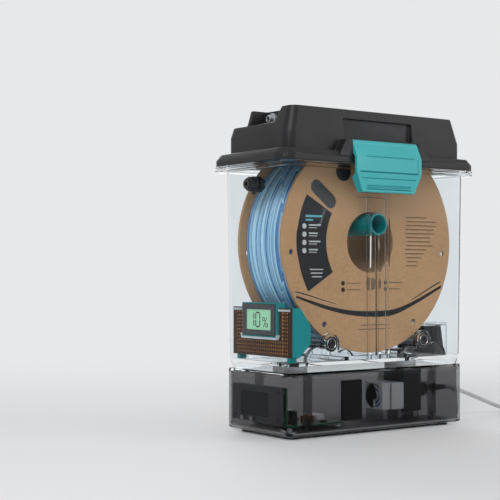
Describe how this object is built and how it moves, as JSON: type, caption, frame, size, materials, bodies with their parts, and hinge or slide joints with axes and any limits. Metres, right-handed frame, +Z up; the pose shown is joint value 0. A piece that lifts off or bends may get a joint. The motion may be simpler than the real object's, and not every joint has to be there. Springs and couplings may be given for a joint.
{
  "type": "filament dryer box",
  "caption": "Clear sealed spool box with a latched lid and roller cradle, standing on a smoked heater dock, with a desiccant unit, a hygrometer and a power adapter.",
  "frame": {"origin": "centre of the footprint, on the plane of the feet", "axes": "+X along the box away from the hygrometer end, -Y towards the front latch, +Z up"},
  "size_m": [0.428, 0.1675, 0.2886],
  "materials": {
    "smoked_plastic": "smoked translucent, glossy",
    "black_plastic": "fine texture",
    "black_rubber": "matte",
    "steel": "satin",
    "grey_plastic": "fine texture",
    "dark_glass": "dark display glass",
    "circuit_board": "green lacquer",
    "silver_plastic": "silver, satin",
    "white_plastic": "smooth",
    "blue_plastic": "smooth",
    "aluminium": "plain sheet",
    "black_gloss": "smooth",
    "lead_jacket": "pale grey, smooth",
    "brass": "plain",
    "clear_plastic": "clear moulded plastic",
    "bearing_plastic": "smooth",
    "teal_plastic": "fine texture",
    "grille_plastic": "smooth",
    "orange_beads": "small round beads",
    "hygrometer_plastic": "fine texture",
    "display_glass": "pale green display",
    "cell_steel": "plain",
    "foam": "open foam",
    "cardboard": "pressed card",
    "blue_filament": "wound strands",
    "charcoal_plastic": "fine texture",
    "grey_rubber": "matte",
    "latch_plastic": "fine texture"
  },
  "bodies": {
    "dock": {"dock_shell": "smoked_plastic", "dock_base_plate": "black_plastic", "dock_feet": "black_rubber", "dock_screws": "steel", "display_frame": "grey_plastic", "display_panel": "dark_glass", "display_board": "circuit_board", "control_board": "circuit_board", "air_baffle": "black_plastic", "fan_frame": "white_plastic", "heater_case": "white_plastic", "heater_core": "aluminium", "warm_air_duct": "black_plastic", "heater_bracket": "steel", "port_gaskets": "black_rubber", "power_socket": "black_plastic", "power_plug": "black_gloss", "power_lead": "lead_jacket", "lead_coil": "lead_jacket", "lead_tail": "lead_jacket", "power_adapter": "black_gloss", "adapter_blades": "brass"},
    "power_button": {"power_button": "silver_plastic"},
    "timer_button": {"timer_button": "silver_plastic"},
    "fan": {"fan_rotor": "blue_plastic"},
    "box": {"box_shell": "clear_plastic", "roller_cradle": "clear_plastic", "roller_bearings": "bearing_plastic", "hub_tube": "teal_plastic", "end_port_body": "black_plastic", "end_port_nut": "black_plastic", "desiccant_case": "teal_plastic", "desiccant_grille": "grille_plastic", "desiccant_beads": "orange_beads", "hygrometer_case": "hygrometer_plastic", "hygrometer_panel": "display_glass", "hygrometer_board": "circuit_board", "button_cells": "cell_steel", "display_cradle": "clear_plastic", "warm_air_hood": "clear_plastic", "foam_filter": "foam"},
    "roller_left": {"roller_left": "steel"},
    "roller_right": {"roller_right": "steel"},
    "valve_left": {"valve_left": "black_plastic"},
    "valve_right": {"valve_right": "black_plastic"},
    "spool": {"spool_flange_front": "cardboard", "spool_flange_rear": "cardboard", "spool_core": "cardboard", "filament_winding": "blue_filament"},
    "lid": {"lid_shell": "charcoal_plastic", "lid_gasket": "grey_rubber", "lid_outlet": "silver_plastic", "latch_pin_front": "steel", "latch_pin_rear": "steel"},
    "latch_front": {"latch_front": "latch_plastic"},
    "latch_rear": {"latch_rear": "latch_plastic"}
  },
  "joints": [
    {"name": "box_lift", "type": "slide", "parent": "dock", "child": "box", "axis": [0, 0, 1], "range_m": [0, 0.06]},
    {"name": "lid_lift", "type": "slide", "parent": "box", "child": "lid", "axis": [0, 0, 1], "range_m": [0, 0.036]},
    {"name": "front_latch", "type": "hinge", "parent": "lid", "child": "latch_front", "pos_m": [0, -0.0514, 0.25729], "axis": [-1, 0, 0], "range_deg": [0, 121]},
    {"name": "rear_latch", "type": "hinge", "parent": "lid", "child": "latch_rear", "pos_m": [0, 0.0514, 0.25729], "axis": [1, 0, 0], "range_deg": [0, 121]},
    {"name": "spool_spin", "type": "hinge", "parent": "box", "child": "spool", "pos_m": [0, 0, 0.17109], "axis": [0, 1, 0], "continuous": true},
    {"name": "left_roller_spin", "type": "hinge", "parent": "box", "child": "roller_left", "pos_m": [-0.055, 0, 0.0813], "axis": [0, 1, 0], "continuous": true},
    {"name": "right_roller_spin", "type": "hinge", "parent": "box", "child": "roller_right", "pos_m": [0.055, 0, 0.0813], "axis": [0, 1, 0], "continuous": true},
    {"name": "left_valve", "type": "slide", "parent": "box", "child": "valve_left", "axis": [0, 0, 1], "range_m": [-0.0028, 0]},
    {"name": "right_valve", "type": "slide", "parent": "box", "child": "valve_right", "axis": [0, 0, 1], "range_m": [-0.0028, 0]},
    {"name": "fan_spin", "type": "hinge", "parent": "dock", "child": "fan", "pos_m": [0.0376, 0, 0.0274], "axis": [1, 0, 0], "continuous": true},
    {"name": "power_press", "type": "slide", "parent": "dock", "child": "power_button", "axis": [1, 0, 0], "range_m": [0, 0.001], "stiffness_N_per_m": 300},
    {"name": "timer_press", "type": "slide", "parent": "dock", "child": "timer_button", "axis": [1, 0, 0], "range_m": [0, 0.001], "stiffness_N_per_m": 300}
  ],
  "couplings": [
    {"joint": "front_latch", "follows": "lid_lift", "rad_per_m": 58.178},
    {"joint": "rear_latch", "follows": "lid_lift", "rad_per_m": 58.178},
    {"joint": "left_roller_spin", "follows": "spool_spin", "ratio": -20},
    {"joint": "right_roller_spin", "follows": "spool_spin", "ratio": -20},
    {"joint": "left_valve", "follows": "box_lift", "ratio": -0.045},
    {"joint": "right_valve", "follows": "box_lift", "ratio": -0.045}
  ]
}
